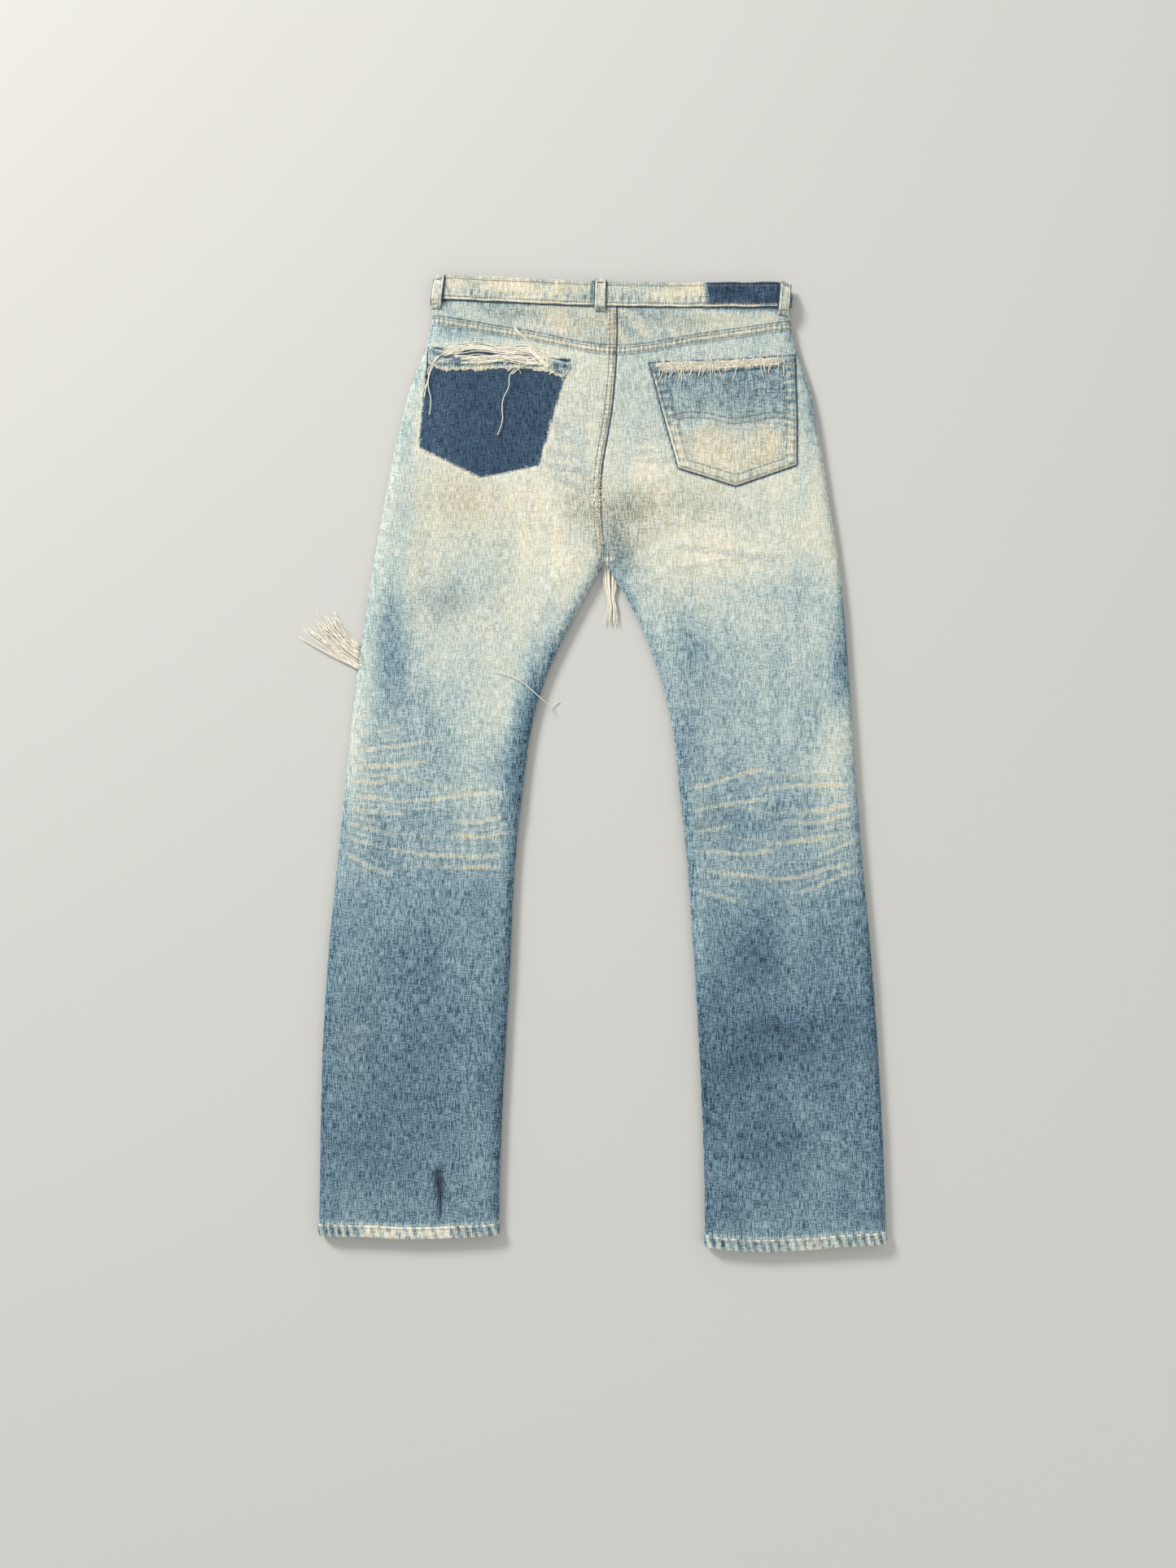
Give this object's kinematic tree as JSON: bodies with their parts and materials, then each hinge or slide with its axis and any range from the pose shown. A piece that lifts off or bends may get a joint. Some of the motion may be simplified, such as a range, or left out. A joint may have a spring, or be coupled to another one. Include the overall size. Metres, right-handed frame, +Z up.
{
  "type": "worn denim jeans",
  "caption": "Worn straight-leg denim jeans lying flat, back side up: one back pocket kept, one torn off, frayed yarns, legs that fold at the knees.",
  "frame": {"origin": "on the floor under the middle of the garment, midway between its sides and between waist and hems", "axes": "+X across the waist to the wearer's right, +Y from hems to waist, +Z up out of the back side; the front side lies on the floor"},
  "size_m": [0.667, 1.13, 0.0179],
  "materials": {
    "denim": "worn indigo denim, faded at seat and thighs",
    "seam_allowance": "felled denim seam, roped",
    "hem_denim": "worn hem",
    "band_denim": "faded denim",
    "band_facing": "inner denim, little faded",
    "loop_denim": "faded denim",
    "pocket_denim": "faded denim",
    "remnant_denim": "frayed denim",
    "pocket_cloth": "plain cotton",
    "fly_denim": "unfaded denim",
    "repair_cloth": "repair cloth",
    "aged_brass": "dulled",
    "aged_copper": "dulled",
    "loose_yarn": "undyed cotton yarn"
  },
  "bodies": {
    "seat": {"back_panel_left_upper": "denim", "back_panel_right_upper": "denim", "back_pocket_lining_right": "pocket_cloth", "back_pocket_remnant_left": "remnant_denim", "back_pocket_right": "pocket_denim", "belt_loop_back": "loop_denim", "belt_loop_front_left": "loop_denim", "belt_loop_front_right": "loop_denim", "belt_loop_side_left": "loop_denim", "belt_loop_side_right": "loop_denim", "coin_pocket": "pocket_denim", "crotch_tuft": "loose_yarn", "fly_button_tacks": "aged_brass", "fly_facing": "fly_denim", "fly_shield": "fly_denim", "front_panel_left_upper": "denim", "front_panel_right_upper": "denim", "front_pocket_bag_left": "pocket_cloth", "front_pocket_bag_right": "pocket_cloth", "front_pocket_facing_left": "pocket_denim", "front_pocket_facing_right": "pocket_denim", "inseam_left_upper": "seam_allowance", "inseam_right_upper": "seam_allowance", "outseam_left_upper": "seam_allowance", "outseam_right_upper": "seam_allowance", "pocket_thread_centre": "loose_yarn", "pocket_thread_side": "loose_yarn", "pocket_yarn_bundle": "loose_yarn", "rivet_burrs": "aged_copper", "rivet_caps": "aged_copper", "seat_patch_left": "repair_cloth", "seat_patch_right": "repair_cloth", "side_tuft": "loose_yarn", "thigh_thread": "loose_yarn", "waist_button_tack": "aged_brass", "waistband": "band_denim", "waistband_facing": "band_facing", "yoke_left": "denim", "yoke_right": "denim"},
    "shank_left": {"back_panel_left_lower": "denim", "front_panel_left_lower": "denim", "outseam_left_lower": "seam_allowance", "inseam_left_lower": "seam_allowance", "hem_left": "hem_denim"},
    "shank_right": {"back_panel_right_lower": "denim", "front_panel_right_lower": "denim", "outseam_right_lower": "seam_allowance", "inseam_right_lower": "seam_allowance", "hem_right": "hem_denim"},
    "waist_button": {"waist_button_head": "aged_brass"},
    "fly_button_1": {"fly_button_head_1": "aged_brass"},
    "fly_button_2": {"fly_button_head_2": "aged_brass"},
    "fly_button_3": {"fly_button_head_3": "aged_brass"},
    "fly_button_4": {"fly_button_head_4": "aged_brass"}
  },
  "joints": [
    {"name": "knee_bend_left", "type": "hinge", "parent": "seat", "child": "shank_left", "pos_m": [-0.198, -0.07, 0.0155], "axis": [-0.9976, 0.0698, 0], "range_deg": [0, 178]},
    {"name": "knee_bend_right", "type": "hinge", "parent": "seat", "child": "shank_right", "pos_m": [0.1955, -0.07, 0.0155], "axis": [-0.9976, -0.0698, 0], "range_deg": [0, 178]},
    {"name": "waist_button_turn", "type": "hinge", "parent": "seat", "child": "waist_button", "pos_m": [-0.006, 0.535, 0.0003], "axis": [0, 0, -1], "continuous": true},
    {"name": "fly_button_turn_1", "type": "hinge", "parent": "seat", "child": "fly_button_1", "pos_m": [-0.006, 0.505, 0.0012], "axis": [0, 0, -1], "continuous": true},
    {"name": "fly_button_turn_2", "type": "hinge", "parent": "seat", "child": "fly_button_2", "pos_m": [-0.006, 0.471, 0.0012], "axis": [0, 0, -1], "continuous": true},
    {"name": "fly_button_turn_3", "type": "hinge", "parent": "seat", "child": "fly_button_3", "pos_m": [-0.006, 0.437, 0.0012], "axis": [0, 0, -1], "continuous": true},
    {"name": "fly_button_turn_4", "type": "hinge", "parent": "seat", "child": "fly_button_4", "pos_m": [-0.006, 0.403, 0.0012], "axis": [0, 0, -1], "continuous": true}
  ]
}
